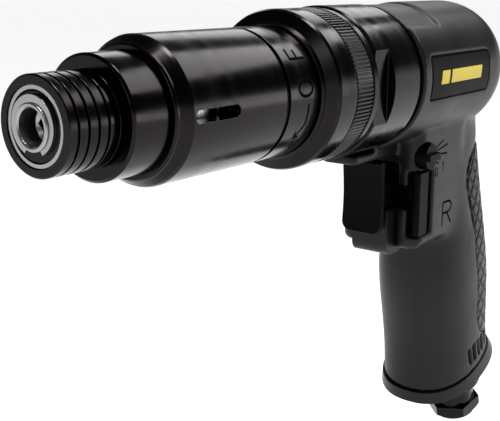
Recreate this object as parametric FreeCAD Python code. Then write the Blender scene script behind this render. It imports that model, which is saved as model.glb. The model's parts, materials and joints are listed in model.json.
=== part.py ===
import FreeCAD
import Part
import math
import os

# Pistol-grip pneumatic screwdriver: quick-change hex chuck, adjustable ball clutch,
# planetary gear, vane motor, and a pistol handle that holds the valves and the air inlet.
# Frame: +X out of the chuck along the spindle axis, +Y the tool's left, +Z up.
# Origin: centre of the bit socket's mouth. All lengths are in millimetres.

V = FreeCAD.Vector
AXIS_X = V(1, 0, 0)
AXIS_Y = V(0, 1, 0)
AXIS_Z = V(0, 0, 1)

# ---------------------------------------------------------------- clearances
running_gap = 0.06        # radial gap of a shaft in its bush, or a sleeve on its tube
fixed_gap = 0.05          # gap between pieces of one body that only touch in the real tool
moving_gap = 0.35         # gap between pieces of different bodies that never bear

# ---------------------------------------------------------------- bit holder and chuck
socket_flats = 6.45       # across the flats of the hex socket, for 1/4 in bits
socket_depth = 22.0
mouth_radius = 4.5
mouth_bevel = 0.45
mouth_bore_radius = 4.1    # round lead-in before the hexagon
mouth_bore_depth = 5.0
spindle_nose_radius = 5.25
spindle_journal_radius = 5.9
spindle_shaft_radius = 5.0
rim_stand_out = 1.1       # socket mouth in front of the chuck sleeve's face
chuck_sleeve_radius = 11.1
chuck_sleeve_length = 14.5
chuck_sleeve_bore = 9.0
chuck_front_bore_depth = 8.5
rib_count = 5
rib_width = 2.1
rib_pitch = 2.85
rib_depth = 1.15
chuck_travel = 3.0
retainer_radius = 7.75
rim_ring_radius = 8.95
rim_ring_bore = 7.9
rim_ring_setback = 0.3
rim_ring_length = 1.5
retainer_thickness = 1.2
circlip_radius = 6.6
circlip_thickness = 0.95
circlip_gap_angle = 52.0
chuck_spring_wire = 0.8
chuck_spring_radius = 7.2
chuck_spring_turns = 3
lock_ball_radius = 1.6
lock_ball_setback = 12.4
lock_ball_bite = 0.62     # how far the ball stands inside the hex socket
lock_ball_lift = 0.65     # how far it moves out when the sleeve is pulled

# ---------------------------------------------------------------- clutch housing and cover
nose_gap = 0.45
nose_radius = 14.5
nose_length = 11.6        # visible length of the clutch housing in front of its cover
nose_wall_thickness = 18.0
clutch_bore_radius = 13.2
bush_radius = 8.0
cover_radius = 18.0
cover_lip_radius = 15.6
cover_bevel_length = 3.8
cover_length = 54.0
cover_inner_radius = 16.2
cover_land_length = 5.0
window_length = 16.2
window_height = 3.1
window_setback = 4.3      # front end of the window behind the cover's front edge
groove_setback = 39.6
groove_width = 1.6
groove_depth = 0.8

# ---------------------------------------------------------------- coupling nut
nut_gap = 0.8
nut_radius = 22.4
nut_lip_radius = 18.9
nut_bevel_length = 3.8
nut_length = 24.0
nut_wall_thickness = 3.2
nut_thread_radius = 19.5
knurl_setback = 12.3
knurl_length = 8.0
knurl_count = 120
knurl_depth = 0.35
flange_thickness = 4.2

# ---------------------------------------------------------------- gear case and gears
case_gap = 0.5
case_radius = 22.9
flat_length = 7.6
flat_half_width = 20.2
collar_length = 15.5
housing_groove_width = 2.9
case_spigot_radius = 21.2
case_spigot_length = 5.0
case_bore_radius = 18.95
case_front_bore_radius = 13.0
carrier_bearing_width = 8.0
gear_module = 0.9
sun_teeth = 12
planet_teeth = 12
ring_teeth = 36
planet_count = 3
gear_width = 10.0
pressure_angle = 25.0
tooth_thinning = 0.10
ring_wall = 1.45
planet_pin_radius = 1.6
carrier_shaft_radius = 7.5
carrier_disc_radius = 14.2
carrier_disc_thickness = 6.0

# ---------------------------------------------------------------- clutch
driven_plate_radius = 12.4
driven_plate_thickness = 7.0
driving_plate_thickness = 6.0
clutch_ball_radius = 2.4
clutch_ball_circle = 8.6
clutch_ball_count = 6
clutch_lift = 1.2         # how far the driven plate moves forward when the clutch slips
adjuster_radius = 12.4
adjuster_length = 5.5
adjuster_setback = 2.2    # behind the nose bush
thrust_washer_thickness = 1.6
clutch_spring_wire = 2.2
clutch_spring_radius = 9.4
clutch_spring_turns = 4
seat_ring_thickness = 1.8

# ---------------------------------------------------------------- motor
barrel_radius = 23.3
barrel_length = 52.7
housing_wall = 3.9
plate_margin = 4.6        # name plate's seat from each end of the barrel
plate_height = 14.4
plate_depth = 0.8
top_step_length = 20.8
top_step_half_width = 16.6
top_step_depth = 0.7
end_plate_thickness = 7.0
rotor_radius = 13.2
rotor_length = 31.0
cylinder_bore_radius = 15.2
cylinder_offset = 1.6
rotor_shaft_radius = 4.0
bearing_radius = 9.5
bearing_width = 4.6
vane_count = 6
vane_thickness = 1.6
vane_height = 8.0

# ---------------------------------------------------------------- handle
grip_setback = 48.1       # handle centre line behind the housing's front, at the axis
grip_lean = 0.155         # how far the centre line moves back for each mm down
grip_roundness = 2.4      # exponent of the handle's oval sections
base_drop = 116.3         # handle end below the axis, on the handle's centre line
base_tilt = 17.0          # degrees, the end face leans with the handle
base_half_depth = 24.9
base_half_width = 18.5
base_flare = 1.5
base_height = 6.0
panel_edge = [            # front edge of the back panel: (drop, behind the handle's top centre)
    (28.5, 21.0), (31.5, 10.5), (38.0, 5.4), (52.0, 8.0), (68.0, 11.0), (89.0, 14.6),
    (97.5, 15.6), (102.5, 19.5), (104.5, 27.0)]
panel_thickness = 1.2
screw_reach = 5.5         # screw ends above the handle's end plane
screw_spread = 8.8        # screws each side of the middle
louvre_count = 25
louvre_width = 1.8
louvre_height = 7.4
louvre_low = 3.6          # above the handle's end plane
louvre_depth = 1.7
louvre_spread = 102.0     # degrees each side of the middle of the back
flare_height = 11.0       # the handle widens over this height to meet its end
throat_front = 147.9      # front face of the handle's upper block, behind the origin
throat_half_width = 15.2
throat_bottom = 59.0
throat_top = 8.0
throat_corner = 4.5
throat_edge = 2.5
valve_chamber_radius = 6.0
valve_chamber_reach = 18.0  # how far the chamber runs behind the handle's centre at the axis
supply_radius = 5.0
supply_lean = 11.5        # degrees, the air supply bore follows the handle
feed_radius = 3.0
hood_front = 121.0
hood_half_width = 6.5
hood_bottom = 26.3

# ---------------------------------------------------------------- trigger and valves
trigger_axis_drop = 39.7
trigger_half_width = 7.3
trigger_half_height = 12.2
trigger_front = 135.6
trigger_thickness = 2.8
trigger_hollow = 1.1      # depth of the finger hollow in the trigger's face
trigger_travel = 3.0
trigger_stem_radius = 2.4
throttle_spring_radius = 4.4
throttle_spring_wire = 1.4
throttle_spring_length = 8.6
throttle_spring_turns = 2.25
valve_plug_radius = 4.6
valve_plug_thickness = 2.6
stem_block_back = 147.0    # rear face of the square part of the trigger stem
skirt_half_width = 6.6
skirt_front = trigger_front + trigger_thickness + trigger_travel + 0.5
skirt_overlap = 6.0       # how far the skirt reaches into the handle's block
selector_axis = 159.4     # selector's pivot behind the origin
selector_pin_radius = 1.5
selector_turn_range = 7.0
selector_arm_height = 7.2
slot_back = 158.0
slot_floor = 10.4
paddle_front = 148.6
paddle_back = 155.4
yoke_front = 151.8
paddle_inner = 12.2
paddle_outer = 14.9
slot_half_height = 11.4
slot_drop = 43.0
dial_setback = 153.0
dial_drop = 26.8
dial_radius = 4.3
dial_height = 5.2
dial_seat_floor = 12.6
dial_stem_radius = 2.0
dial_bar_width = 2.2
dial_bar_height = 1.5

# ---------------------------------------------------------------- air inlet and exhaust
inlet_offset = -10.3      # inlet axis behind the handle's centre, in the base plane
inlet_flange_radius = 12.0
inlet_neck_radius = 8.8
inlet_flats = 19.0
inlet_bore_radius = 5.8   # wall of the 1/4 in pipe thread
inlet_bore_length = 14.0
inlet_hex_turn = -11.0    # degrees
inlet_air_radius = 4.2
inlet_flange_drop = 16.4  # below the handle's end plane
inlet_flange_thickness = 3.2
inlet_hex_drop = 28.6
inlet_hex_thickness = 4.8
inlet_end_drop = 34.8

# ---------------------------------------------------------------- stations along the axis
x_retainer = -(rim_stand_out + 0.4)
x_sleeve_front = -rim_stand_out
x_sleeve_back = x_sleeve_front - chuck_sleeve_length
x_nose = x_sleeve_back - nose_gap
x_cover = x_nose - nose_length
x_cover_back = x_cover - cover_length
x_nut = x_cover_back - nut_gap
x_nut_back = x_nut - nut_length
x_case = x_nut_back - case_gap
x_flat_back = x_case - flat_length
x_case_back = x_flat_back - collar_length
x_housing = x_case_back - housing_groove_width
x_dome = x_housing - barrel_length
x_nose_wall_back = x_nose - nose_wall_thickness
x_adjuster = x_nose_wall_back - adjuster_setback
x_washer = x_adjuster - adjuster_length - fixed_gap
x_flange = x_nut - nut_wall_thickness - fixed_gap
x_flange_back = x_flange - flange_thickness
x_driving_plate_back = x_flange_back + 0.3
x_driving_plate = x_driving_plate_back + driving_plate_thickness
ball_gap = clutch_lift + 0.1
x_driven_back = x_driving_plate + ball_gap
x_driven_front = x_driven_back + driven_plate_thickness
x_case_front = x_flange_back - 0.2
x_bearing_front = x_case_front - 3.0
x_bearing_back = x_bearing_front - carrier_bearing_width
x_disc_front = x_bearing_back - 1.8
x_disc_back = x_disc_front - carrier_disc_thickness
x_gear_front = x_disc_back - 0.6
x_gear_back = x_gear_front - gear_width
x_spigot_back = x_housing - case_spigot_length
x_front_plate = x_spigot_back - 0.8
x_cylinder = x_front_plate - end_plate_thickness
x_cylinder_back = x_cylinder - rotor_length
x_rear_plate_back = x_cylinder_back - end_plate_thickness
x_bore_end = x_rear_plate_back - 1.0
grip_x = x_housing - grip_setback


# ================================================================ helpers
def bar(radius, x_front, x_back, y=0.0, z=0.0):
    """Solid cylinder along X from x_front back to x_back."""
    return Part.makeCylinder(radius, x_front - x_back, V(x_back, y, z), AXIS_X)


def tube(outer, inner, x_front, x_back, y=0.0, z=0.0):
    """Hollow cylinder along X."""
    return bar(outer, x_front, x_back, y, z).cut(bar(inner, x_front + 1, x_back - 1, y, z))


def turned(profile):
    """Solid of revolution about X from (x, radius) points."""
    wire = Part.makePolygon([V(x, 0, r) for x, r in profile + profile[:1]])
    return Part.Face(wire).revolve(V(0, 0, 0), AXIS_X, 360)


def box(x_front, x_back, y_low, y_high, z_low, z_high):
    """Box from its limits."""
    return Part.makeBox(x_front - x_back, y_high - y_low, z_high - z_low, V(x_back, y_low, z_low))


def hex_bar(flats, x_front, x_back):
    """Hexagonal prism along X, with two flats facing up and down."""
    corner = flats / math.sqrt(3)
    turns = [math.radians(60 * step) for step in range(7)]
    points = [V(x_back, corner * math.cos(turn), corner * math.sin(turn)) for turn in turns]
    return Part.Face(Part.makePolygon(points)).extrude(V(x_front - x_back, 0, 0))


def around_x(shape, degrees):
    """Copy of a shape turned about the spindle axis."""
    copy = shape.copy()
    copy.rotate(V(0, 0, 0), AXIS_X, degrees)
    return copy


def ring_of(shape, count, first=0.0):
    """List of copies spaced evenly about the spindle axis."""
    return [around_x(shape, first + 360.0 * step / count) for step in range(count)]


def oval(half_depth, half_width, centre_x, z, roundness=grip_roundness, steps=28):
    """Closed smooth super-ellipse in a horizontal plane."""
    points = []
    for step in range(steps):
        turn = 2 * math.pi * (step + 0.5) / steps
        c = math.cos(turn)
        s = math.sin(turn)
        x = centre_x + half_depth * math.copysign(abs(c) ** (2 / roundness), c)
        y = half_width * math.copysign(abs(s) ** (2 / roundness), s)
        points.append(V(x, y, z))
    curve = Part.BSplineCurve()
    curve.interpolate(Points=points, PeriodicFlag=True)
    return Part.Wire([curve.toShape()])


def coil(radius, wire, x_front, x_back, turns):
    """Round-wire compression spring along X, between two planes."""
    pitch = (x_front - x_back - wire) / turns
    path = Part.makeHelix(pitch, pitch * turns, radius)
    start = V(radius, 0, 0)
    section = Part.Wire([Part.makeCircle(wire / 2, start, AXIS_Y)])
    spring = Part.Wire(path.Edges).makePipeShell([section], True, True)
    spring.rotate(V(0, 0, 0), AXIS_Y, 90)
    spring.translate(V(x_back + wire / 2, 0, 0))
    return spring


def rounded(shape, radius, chosen):
    """Fillet the edges that the test picks, if there are any."""
    edges = [edge for edge in shape.Edges if chosen(edge)]
    return shape.makeFillet(radius, edges) if edges else shape


def base_frame(shape):
    """Move a shape modelled about the origin to the handle's tilted end."""
    shape.rotate(V(0, 0, 0), AXIS_Y, base_tilt)
    shape.translate(V(grip_x - grip_lean * base_drop, 0, -base_drop))
    return shape


def upright(radius, z_low, z_high, x=0.0):
    """Solid cylinder along Z."""
    return Part.makeCylinder(radius, z_high - z_low, V(x, 0, z_low))


def bearing(outer, inner, x_front, x_back, balls=9):
    """Ball bearing: outer ring, inner ring and balls, as separate solids."""
    middle = (outer + inner) / 2
    ball = (outer - inner) * 0.22
    x_mid = (x_front + x_back) / 2
    race = Part.makeTorus(middle, ball + 0.04, V(x_mid, 0, 0), AXIS_X)
    land = (outer - inner) * 0.32
    outer_ring = tube(outer, outer - land, x_front, x_back).cut(race)
    inner_ring = tube(inner + land, inner, x_front, x_back).cut(race)
    one = Part.makeSphere(ball, V(x_mid, 0, middle))
    return [outer_ring, inner_ring] + ring_of(one, balls)


def save(name, shape):
    """Write one sub-part."""
    solids = shape if isinstance(shape, list) else shape.Solids
    Part.makeCompound(solids).exportStep("parts/" + name + ".step")


# ================================================================ chuck
def bit_holder():
    """Spindle with the hex socket: nose, journal, long shaft and square rear end."""
    shape = turned([
        (0, 0), (0, spindle_nose_radius - 0.25), (-0.25, spindle_nose_radius),
        (x_sleeve_back, spindle_nose_radius), (x_sleeve_back, spindle_journal_radius),
        (x_nose_wall_back - 0.6, spindle_journal_radius),
        (x_nose_wall_back - 0.6, spindle_shaft_radius),
        (x_driven_back - 0.8, spindle_shaft_radius), (x_driven_back - 0.8, 0)])
    shape = shape.cut(hex_bar(socket_flats, 1, -socket_depth))
    shape = shape.cut(turned([
        (0.01, 0), (0.01, mouth_radius), (-mouth_bevel, mouth_bore_radius),
        (-mouth_bore_depth, mouth_bore_radius), (-mouth_bore_depth - 0.8, socket_flats / 2),
        (-mouth_bore_depth - 0.8, 0)]))
    groove_front = x_retainer + circlip_thickness + fixed_gap
    shape = shape.cut(tube(7, spindle_nose_radius - 0.35, groove_front, x_retainer))
    ball_hole = Part.makeCylinder(lock_ball_radius + running_gap, 8,
                                  V(-lock_ball_setback, 0, 1.0), AXIS_Z)
    shape = shape.cut(ball_hole)
    keyway = box(x_driven_front - 0.2, x_driven_back - 1, -1.5, 1.5,
                 spindle_shaft_radius - 1.2, spindle_shaft_radius + 1)
    return shape.cut(keyway)


def circlip():
    """External retaining ring, thicker at the top, open at the bottom."""
    front = x_retainer + circlip_thickness
    inner = spindle_nose_radius - 0.3
    ring = bar(circlip_radius, front, x_retainer, z=0.35)
    ring = ring.cut(bar(inner, front + 1, x_retainer - 1))
    reach = 12.0
    half = math.radians(circlip_gap_angle / 2)
    side = reach * math.tan(half)
    wedge = Part.makePolygon([V(x_retainer - 1, 0, 0), V(x_retainer - 1, side, -reach),
                              V(x_retainer - 1, -side, -reach), V(x_retainer - 1, 0, 0)])
    return ring.cut(Part.Face(wedge).extrude(V(circlip_thickness + 2, 0, 0)))


def chuck_retainer():
    """Washer behind the circlip: front seat of the chuck spring."""
    front = x_retainer - 0.02
    return turned([
        (front, spindle_nose_radius + fixed_gap), (front, retainer_radius - 0.25),
        (front - 0.25, retainer_radius), (front - retainer_thickness, retainer_radius),
        (front - retainer_thickness, spindle_nose_radius + fixed_gap)])


def rim_ring():
    """Bright ring pressed into the mouth of the release sleeve."""
    front = x_sleeve_front - rim_ring_setback
    back = front - rim_ring_length
    return turned([
        (front, rim_ring_bore), (front, rim_ring_radius - 0.15), (front - 0.15, rim_ring_radius),
        (back, rim_ring_radius), (back, rim_ring_bore)])


def chuck_spring():
    """Spring that pushes the sleeve back over the locking ball."""
    front = x_retainer - retainer_thickness - 0.1
    back = x_sleeve_front - chuck_front_bore_depth + 0.05
    return coil(chuck_spring_radius, chuck_spring_wire, front, back, chuck_spring_turns)


def chuck_sleeve():
    """Ribbed release sleeve with the locking ramp inside."""
    shoulder = x_sleeve_front - chuck_front_bore_depth
    ball_out = socket_flats / 2 - lock_ball_bite + 2 * lock_ball_radius
    ramp_slope = lock_ball_lift / chuck_travel
    land = ball_out + 0.1
    ramp_front = -lock_ball_setback + lock_ball_radius + 0.1
    ramp_end = land + ramp_slope * (-lock_ball_setback - x_sleeve_back)
    bore = spindle_nose_radius + running_gap
    root = chuck_sleeve_radius - rib_depth
    shape = turned([
        (x_sleeve_front, chuck_sleeve_bore), (x_sleeve_front, chuck_sleeve_radius - 0.3),
        (x_sleeve_front - 0.3, chuck_sleeve_radius),
        (x_sleeve_back + 0.2, chuck_sleeve_radius), (x_sleeve_back, chuck_sleeve_radius - 0.3),
        (x_sleeve_back, ramp_end), (-lock_ball_setback, land), (ramp_front, land),
        (ramp_front, bore), (shoulder, bore), (shoulder, chuck_sleeve_bore)])
    for rib in range(rib_count):
        front = x_sleeve_front - rib * rib_pitch - rib_width
        back = max(front - (rib_pitch - rib_width), x_sleeve_back - 1)
        shape = shape.cut(tube(chuck_sleeve_radius + 1, root, front, back))
    return shape


def lock_ball():
    """Steel ball that holds the bit by its ball groove."""
    height = socket_flats / 2 - lock_ball_bite + lock_ball_radius
    return Part.makeSphere(lock_ball_radius, V(-lock_ball_setback, 0, height))


# ================================================================ clutch housing
def nose_bush():
    """Plain bronze bush for the spindle journal."""
    return tube(bush_radius, spindle_journal_radius + running_gap, x_nose - 1.0,
                x_nose_wall_back + 0.5)


def window_cutter(inner, outer):
    """Round-ended slot through the left side, from one radius to another."""
    front = x_cover - window_setback
    back = front - window_length
    half = window_height / 2
    slot = box(front - half, back + half, inner, outer, -half, half)
    for centre in (front - half, back + half):
        slot = slot.fuse(Part.makeCylinder(half, outer - inner, V(centre, inner, 0), AXIS_Y))
    return slot


def clutch_housing():
    """Stepped tube round the clutch, with the nose wall and the rear flange."""
    tube_back = x_flange
    shape = turned([
        (x_nose, spindle_journal_radius + 0.6), (x_nose, nose_radius - 0.6),
        (x_nose - 0.6, nose_radius), (tube_back, nose_radius),
        (tube_back, nut_thread_radius - 0.15), (x_flange_back, nut_thread_radius - 0.15),
        (x_flange_back, clutch_bore_radius), (x_nose_wall_back, clutch_bore_radius),
        (x_nose_wall_back, bush_radius + fixed_gap), (x_nose - 0.9, bush_radius + fixed_gap),
        (x_nose - 0.9, spindle_journal_radius + 0.6)])
    cutter = window_cutter(clutch_bore_radius - 2, nose_radius + 2)
    return shape.cut(cutter)


def clutch_cover():
    """Cover sleeve that turns on the clutch housing and opens its own window."""
    bore = nose_radius + running_gap
    shape = turned([
        (x_cover, bore), (x_cover, cover_lip_radius), (x_cover - 0.5, cover_lip_radius + 0.5),
        (x_cover - 1.0, cover_lip_radius + 0.5),
        (x_cover - cover_bevel_length + 0.9, cover_radius - 0.35),
        (x_cover - cover_bevel_length, cover_radius),
        (x_cover_back + 0.5, cover_radius), (x_cover_back, cover_radius - 0.5),
        (x_cover_back, bore), (x_cover_back + cover_land_length, bore),
        (x_cover_back + cover_land_length, cover_inner_radius),
        (x_cover - cover_bevel_length - cover_land_length - window_length, cover_inner_radius),
        (x_cover - cover_bevel_length - cover_land_length - window_length, bore)])
    shape = shape.cut(tube(cover_radius + 1, cover_radius - groove_depth,
                           x_cover - groove_setback, x_cover - groove_setback - groove_width))
    return shape.cut(window_cutter(nose_radius - 1, cover_radius + 1))


def cover_stop_ring():
    """Snap ring that keeps the cover on the clutch housing, between cover and nut."""
    return tube(nose_radius + 1.6, nose_radius + fixed_gap, x_cover_back - 0.2, x_nut + 0.15)


def coupling_nut():
    """Knurled nut that clamps the clutch housing to the gear case."""
    wall_back = x_nut - nut_wall_thickness
    shape = turned([
        (x_nut, nose_radius + fixed_gap), (x_nut, nut_lip_radius - 0.5),
        (x_nut - 0.5, nut_lip_radius), (x_nut - 1.2, nut_lip_radius),
        (x_nut - nut_bevel_length + 0.9, nut_radius - 0.4),
        (x_nut - nut_bevel_length, nut_radius),
        (x_nut_back + 0.6, nut_radius), (x_nut_back, nut_radius - 0.6),
        (x_nut_back, nut_thread_radius), (wall_back, nut_thread_radius),
        (wall_back, nose_radius + fixed_gap)])
    front = x_nut - knurl_setback
    for edge in (front + 0.9, front - knurl_length):
        shape = shape.cut(tube(nut_radius + 1, nut_radius - 0.45, edge, edge - 0.9))
    root = nut_radius - knurl_depth
    half = math.pi * nut_radius / knurl_count
    notch = Part.makePolygon([V(front, -half, nut_radius + 0.1), V(front, half, nut_radius + 0.1),
                              V(front, 0, root), V(front, -half, nut_radius + 0.1)])
    cutter = Part.Face(notch).extrude(V(-knurl_length, 0, 0))
    return shape.cut(Part.makeCompound(ring_of(cutter, knurl_count)))


# ================================================================ clutch
def adjusting_nut():
    """Round nut with key holes, seen through the window: it loads the clutch spring."""
    back = x_adjuster - adjuster_length
    shape = turned([
        (x_adjuster, spindle_shaft_radius + running_gap), (x_adjuster, adjuster_radius - 0.5),
        (x_adjuster - 0.5, adjuster_radius), (back + 0.5, adjuster_radius),
        (back, adjuster_radius - 0.5), (back, spindle_shaft_radius + running_gap)])
    hole = Part.makeCylinder(1.3, 4.0, V(x_adjuster - adjuster_length / 2, 0,
                                         adjuster_radius - 3.0), AXIS_Z)
    return shape.cut(Part.makeCompound(ring_of(hole, 12, 15.0)))


def thrust_washer():
    """Hard washer between the adjusting nut and the spring."""
    return tube(adjuster_radius - 0.3, spindle_shaft_radius + running_gap, x_washer,
                x_washer - thrust_washer_thickness)


def clutch_spring():
    """Heavy spring that presses the driven plate on the balls."""
    front = x_washer - thrust_washer_thickness - 0.1
    back = x_driven_front + seat_ring_thickness + 0.2
    return coil(clutch_spring_radius, clutch_spring_wire, front, back, clutch_spring_turns)


def spring_seat():
    """Flat ring between the spring and the driven plate."""
    back = x_driven_front + fixed_gap
    return tube(driven_plate_radius - 0.3, spindle_shaft_radius + running_gap,
                back + seat_ring_thickness, back)


def ball_pockets(x_centre):
    """Spherical pockets for the clutch balls, as one cutter."""
    pocket = Part.makeSphere(clutch_ball_radius + running_gap,
                             V(x_centre, 0, clutch_ball_circle))
    return Part.makeCompound(ring_of(pocket, clutch_ball_count))


def clutch_plane():
    """Place of the ball centres, midway between the two plates."""
    return x_driving_plate + ball_gap / 2


def driven_plate():
    """Plate keyed to the spindle: it rides up the balls when the clutch slips."""
    shape = tube(driven_plate_radius, spindle_shaft_radius + running_gap, x_driven_front,
                 x_driven_back)
    keyway = box(x_driven_front + 1, x_driven_back - 1, -1.5, 1.5, spindle_shaft_radius - 2,
                 spindle_shaft_radius + 1.2)
    return shape.cut(keyway).cut(ball_pockets(clutch_plane()))


def drive_key():
    """Parallel key between the spindle and the driven plate."""
    front = x_driven_front - 0.4
    return box(front, x_driven_back + 0.3, -1.4, 1.4, spindle_shaft_radius - 1.1,
               spindle_shaft_radius + 0.9)


def clutch_balls():
    """Steel balls that carry the torque, held in the driving plate."""
    ball = Part.makeSphere(clutch_ball_radius, V(clutch_plane(), 0, clutch_ball_circle))
    return ring_of(ball, clutch_ball_count)


def driving_plate():
    """Driving half of the clutch, on the planet carrier's shaft."""
    shape = tube(driven_plate_radius, carrier_nose_radius() + fixed_gap, x_driving_plate,
                 x_driving_plate_back)
    return shape.cut(ball_pockets(clutch_plane()))


def carrier_nose_radius():
    """Splined nose of the carrier, inside the driving plate."""
    return spindle_shaft_radius + 1.0


# ================================================================ gears
def tooth_outline(teeth, tip, root, thinning):
    """Outline of an external gear about the origin, in the YZ plane."""
    pitch = gear_module * teeth / 2
    base = pitch * math.cos(math.radians(pressure_angle))
    start = math.tan(math.radians(pressure_angle)) - math.radians(pressure_angle)
    half = math.pi / (2 * teeth) - thinning / (2 * pitch)
    low = max(base, root)
    points = []
    steps = 5
    for tooth in range(teeth):
        centre = 2 * math.pi * tooth / teeth
        flank = []
        for step in range(steps + 1):
            radius = low + (tip - low) * step / steps
            roll = math.sqrt(max((radius / base) ** 2 - 1, 0))
            flank.append((radius, half + start - (roll - math.atan(roll))))
        points.append((root, centre - half - start - 0.01))
        points += [(radius, centre - turn) for radius, turn in flank]
        points += [(radius, centre + turn) for radius, turn in reversed(flank)]
        points.append((root, centre + half + start + 0.01))
    return [V(0, radius * math.sin(turn), radius * math.cos(turn)) for radius, turn in points]


def gear_solid(teeth, tip, root, x_front, x_back, thinning=tooth_thinning):
    """External spur gear along X with a tooth pointing up."""
    points = tooth_outline(teeth, tip, root, thinning)
    face = Part.Face(Part.makePolygon(points + points[:1]))
    solid = face.extrude(V(x_front - x_back, 0, 0))
    solid.translate(V(x_back, 0, 0))
    return solid


def external_gear(teeth, x_front, x_back):
    """Gear with stub teeth."""
    pitch = gear_module * teeth / 2
    return gear_solid(teeth, pitch + 0.8 * gear_module, pitch - 1.1 * gear_module, x_front, x_back)


def planet_distance():
    """Centre distance of sun and planet."""
    return gear_module * (sun_teeth + planet_teeth) / 2


def ring_gear():
    """Internal gear pressed in the gear case."""
    pitch = gear_module * ring_teeth / 2
    outer = pitch + 1.1 * gear_module + ring_wall
    space = gear_solid(ring_teeth, pitch + 1.1 * gear_module, pitch - 0.8 * gear_module,
                       x_gear_front + 1, x_gear_back - 1, -tooth_thinning)
    hole = bar(pitch - 0.8 * gear_module + 0.02, x_gear_front + 1, x_gear_back - 1)
    blank = bar(min(outer, case_bore_radius - fixed_gap), x_gear_front + 0.5, x_gear_back - 0.5)
    cutter = space.fuse(hole)
    half_tooth = 180.0 / ring_teeth if planet_teeth % 2 == 0 else 0.0
    return blank.cut(around_x(cutter, half_tooth))


def planet_gear(number):
    """One planet, with its bore on its pin, in mesh with sun and ring."""
    turn = 360.0 * number / planet_count
    gear = external_gear(planet_teeth, x_gear_front, x_gear_back)
    gear = gear.cut(bar(planet_pin_radius + running_gap, x_gear_front + 1, x_gear_back - 1))
    gear = around_x(gear, 180.0 / planet_teeth if planet_teeth % 2 == 0 else 0)
    gear.translate(V(0, 0, planet_distance()))
    return around_x(gear, turn)


def planet_carrier():
    """Disc and hollow shaft that carry the planets and drive the clutch."""
    nose = carrier_nose_radius()
    shape = turned([
        (x_driving_plate - 0.8, spindle_shaft_radius - 2), (x_driving_plate - 0.8, nose),
        (x_driving_plate_back - 0.1, nose), (x_driving_plate_back - 0.1, carrier_shaft_radius),
        (x_disc_front, carrier_shaft_radius), (x_disc_front, carrier_disc_radius),
        (x_disc_back, carrier_disc_radius), (x_disc_back, spindle_shaft_radius - 2)])
    relief = bar(spindle_shaft_radius + 0.4, x_driving_plate, x_driven_back - 2.2)
    shape = shape.cut(relief)
    hole = bar(planet_pin_radius + fixed_gap / 2, x_disc_front + 1, x_disc_back - 1, 0,
               planet_distance())
    return shape.cut(Part.makeCompound(ring_of(hole, planet_count)))


def planet_pins():
    """Hardened pins that the planets turn on."""
    pin = bar(planet_pin_radius, x_disc_front - 0.2, x_gear_back - 0.4, 0, planet_distance())
    return ring_of(pin, planet_count)


def gear_case():
    """Steel case with wrench flats: holds the bearing and the ring gear."""
    male = nut_thread_radius - 0.1
    shape = turned([
        (x_case_front, case_front_bore_radius - 1.2), (x_case_front, male), (x_case, male),
        (x_case, case_radius - 0.5), (x_case - 0.5, case_radius),
        (x_case_back + 0.4, case_radius), (x_case_back, case_radius - 0.4),
        (x_case_back, case_spigot_radius), (x_housing - 0.3, case_spigot_radius),
        (x_housing - 0.3, case_spigot_radius - 0.6), (x_spigot_back, case_spigot_radius - 0.6),
        (x_spigot_back, case_bore_radius), (x_disc_front + 0.6, case_bore_radius),
        (x_disc_front + 0.6, case_front_bore_radius), (x_bearing_front, case_front_bore_radius),
        (x_bearing_front, case_front_bore_radius - 1.2)])
    for side in (-1, 1):
        low = min(side * flat_half_width, side * (case_radius + 1))
        high = max(side * flat_half_width, side * (case_radius + 1))
        shape = shape.cut(box(x_case + 0.01, x_flat_back, low, high, -case_radius, case_radius))
    return shape


def carrier_bearing():
    """Ball bearing of the planet carrier."""
    return bearing(case_front_bore_radius - fixed_gap, carrier_shaft_radius + running_gap,
                   x_bearing_front - fixed_gap, x_bearing_back)


def case_gasket():
    """Paper gasket between gear case and motor."""
    return tube(case_spigot_radius - 0.7, case_bore_radius - 3.5, x_spigot_back - 0.05,
                x_front_plate + 0.05)


# ================================================================ motor
def motor_bore_radius():
    """Bore of the housing, round the motor."""
    return barrel_radius - housing_wall


def end_plate(x_front, x_back, bearing_side):
    """Motor end plate with a bearing seat on one side."""
    shape = tube(motor_bore_radius() - fixed_gap, rotor_shaft_radius + 0.6, x_front, x_back)
    depth = bearing_width + 0.1
    if bearing_side == "front":
        seat = bar(bearing_radius + fixed_gap, x_front + 1, x_front - depth)
    else:
        seat = bar(bearing_radius + fixed_gap, x_back + depth, x_back - 1)
    return shape.cut(seat)


def motor_cylinder():
    """Liner whose bore is set off centre, with inlet and exhaust ports."""
    shape = bar(motor_bore_radius() - fixed_gap, x_cylinder - 0.02, x_cylinder_back + 0.02)
    shape = shape.cut(bar(cylinder_bore_radius, x_cylinder + 1, x_cylinder_back - 1, 0,
                          cylinder_offset))
    port = Part.makeCylinder(1.6, 30, V(0, 0, 0), AXIS_Z * -1)
    for share in (0.3, 0.5, 0.7):
        copy = port.copy()
        copy.translate(V(x_cylinder - share * rotor_length, 0, 0))
        shape = shape.cut(copy)
    return shape


def rotor():
    """Rotor with its shaft, vane slots and sun pinion."""
    front = x_cylinder - 0.25
    back = x_cylinder_back + 0.25
    body = bar(rotor_radius, front, back)
    slot = box(front + 1, back - 1, -vane_thickness / 2 - 0.05, vane_thickness / 2 + 0.05,
               rotor_radius - vane_height - 0.3, rotor_radius + 1)
    body = body.cut(Part.makeCompound(ring_of(slot, vane_count)))
    shaft = bar(rotor_shaft_radius, x_gear_back - 1.2, x_rear_plate_back - 0.3)
    pinion = external_gear(sun_teeth, x_gear_front - 0.2, x_gear_back - 1.3)
    return body.fuse(shaft).fuse(pinion)


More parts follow.
